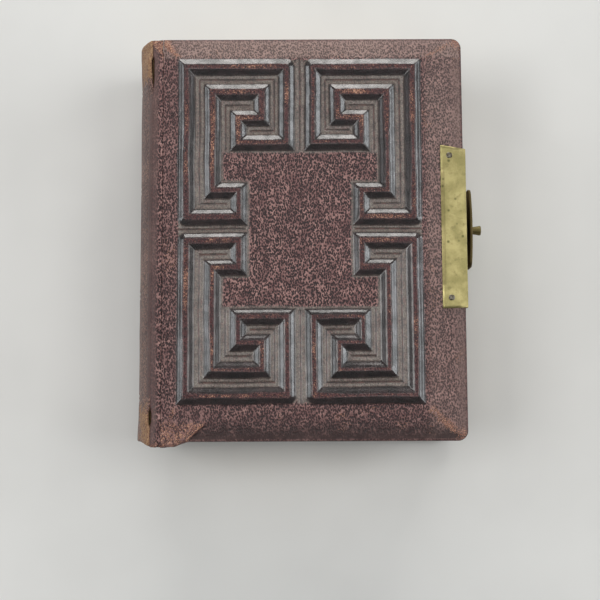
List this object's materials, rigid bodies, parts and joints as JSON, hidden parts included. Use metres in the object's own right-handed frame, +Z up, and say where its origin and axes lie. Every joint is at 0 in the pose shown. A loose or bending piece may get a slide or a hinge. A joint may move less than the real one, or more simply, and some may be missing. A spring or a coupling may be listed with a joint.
{
  "type": "bible",
  "caption": "Small leather-bound bible with key-pattern embossed boards, rounded spine, sewn sections and a brass fore-edge clasp; covers, leaves and hasp open.",
  "frame": {"origin": "centre of the closed book's bounding box, on the surface that it lies on", "axes": "+X from the spine to the fore-edge and its clasp, +Y from the tail to the head of the book, +Z up through the back cover, the leaves and the front cover"},
  "size_m": [0.1034, 0.12, 0.038],
  "materials": {
    "cover_leather": "grained dark maroon leather, embossed, burnished on the slopes, rubbed to tan on the ridges and corners",
    "spine_leather": "smooth worn brown leather",
    "millboard": "matt millboard",
    "page_paper": "aged thin printing paper with dull gilt edges",
    "endpaper": "smooth cream endpaper",
    "spine_lining": "brown glued lining paper",
    "band_silk": "faded red and cream sewn silk",
    "cord": "hemp cord",
    "brass": "aged brass, dark speckles",
    "nail_steel": "dark oxidised steel"
  },
  "bodies": {
    "back_cover": {"back_board": "millboard", "back_leather": "cover_leather", "back_pastedown": "endpaper", "back_joint_leather": "spine_leather", "hinge_plate": "brass", "hinge_plate_nail_1": "nail_steel", "hinge_plate_nail_2": "nail_steel", "hinge_pin": "nail_steel"},
    "back_flyleaf": {"back_flyleaf": "endpaper"},
    "back_half": {"section_01": "page_paper", "section_02": "page_paper", "section_03": "page_paper", "section_04": "page_paper", "section_05": "page_paper", "section_06": "page_paper", "spine_leather_lower": "spine_leather", "spine_lining_lower": "spine_lining", "headband_lower": "band_silk", "tailband_lower": "band_silk", "sewing_cord_lower_1": "cord", "sewing_cord_lower_2": "cord", "sewing_cord_lower_3": "cord"},
    "middle_leaf_1": {"middle_leaf_1": "page_paper"},
    "middle_leaf_2": {"middle_leaf_2": "page_paper"},
    "middle_leaf_3": {"middle_leaf_3": "page_paper"},
    "middle_leaf_4": {"middle_leaf_4": "page_paper"},
    "front_half": {"section_07": "page_paper", "section_08": "page_paper", "section_09": "page_paper", "section_10": "page_paper", "section_11": "page_paper", "section_12": "page_paper", "spine_leather_upper": "spine_leather", "spine_lining_upper": "spine_lining", "headband_upper": "band_silk", "tailband_upper": "band_silk", "sewing_cord_upper_1": "cord", "sewing_cord_upper_2": "cord", "sewing_cord_upper_3": "cord"},
    "front_flyleaf": {"front_flyleaf": "endpaper"},
    "front_cover": {"front_board": "millboard", "front_leather": "cover_leather", "front_pastedown": "endpaper", "front_joint_leather": "spine_leather", "keeper_plate": "brass", "keeper_nail_1": "nail_steel", "keeper_nail_2": "nail_steel"},
    "hasp": {"hasp_plate": "brass", "catch_spring": "nail_steel", "spring_rivet": "brass", "knob_washer": "brass", "knob": "brass"}
  },
  "joints": [
    {"name": "back_joint", "type": "hinge", "parent": "back_cover", "child": "back_half", "pos_m": [-0.0443, 0, -0.00015], "axis": [0, 1, 0], "range_deg": [-45, 0], "deforming": ["back_joint_leather"]},
    {"name": "back_flyleaf_turn", "type": "hinge", "parent": "back_cover", "child": "back_flyleaf", "pos_m": [-0.0443, 0, -0.00015], "axis": [0, 1, 0], "range_deg": [-4.5, 0]},
    {"name": "centre_opening", "type": "hinge", "parent": "back_half", "child": "front_half", "pos_m": [-0.05185, 0, 0.019], "axis": [0, -1, 0], "range_deg": [0, 180]},
    {"name": "middle_leaf_1_turn", "type": "hinge", "parent": "back_half", "child": "middle_leaf_1", "pos_m": [-0.05185, 0, 0.019], "axis": [0, -1, 0], "range_deg": [0, 6.3]},
    {"name": "middle_leaf_2_turn", "type": "hinge", "parent": "back_half", "child": "middle_leaf_2", "pos_m": [-0.05185, 0, 0.019], "axis": [0, -1, 0], "range_deg": [0, 14.4]},
    {"name": "middle_leaf_3_turn", "type": "hinge", "parent": "back_half", "child": "middle_leaf_3", "pos_m": [-0.05185, 0, 0.019], "axis": [0, -1, 0], "range_deg": [0, 167.4]},
    {"name": "middle_leaf_4_turn", "type": "hinge", "parent": "back_half", "child": "middle_leaf_4", "pos_m": [-0.05185, 0, 0.019], "axis": [0, -1, 0], "range_deg": [0, 174.6]},
    {"name": "front_joint", "type": "hinge", "parent": "front_half", "child": "front_cover", "pos_m": [-0.0443, 0, 0.03815], "axis": [0, -1, 0], "range_deg": [0, 135], "deforming": ["front_joint_leather"]},
    {"name": "front_flyleaf_turn", "type": "hinge", "parent": "front_half", "child": "front_flyleaf", "pos_m": [-0.0443, 0, 0.03815], "axis": [0, -1, 0], "range_deg": [0, 126.9]},
    {"name": "hasp_hinge", "type": "hinge", "parent": "back_cover", "child": "hasp", "pos_m": [0.0469, 0.0028, 0.0056], "axis": [0, 1, 0], "range_deg": [0, 90], "deforming": ["catch_spring"]}
  ],
  "couplings": [
    {"joint": "back_flyleaf_turn", "follows": "back_joint", "ratio": 0.1},
    {"joint": "middle_leaf_1_turn", "follows": "centre_opening", "ratio": 0.035},
    {"joint": "middle_leaf_2_turn", "follows": "centre_opening", "ratio": 0.08},
    {"joint": "middle_leaf_3_turn", "follows": "centre_opening", "ratio": 0.93},
    {"joint": "middle_leaf_4_turn", "follows": "centre_opening", "ratio": 0.97},
    {"joint": "front_flyleaf_turn", "follows": "front_joint", "ratio": 0.94}
  ]
}
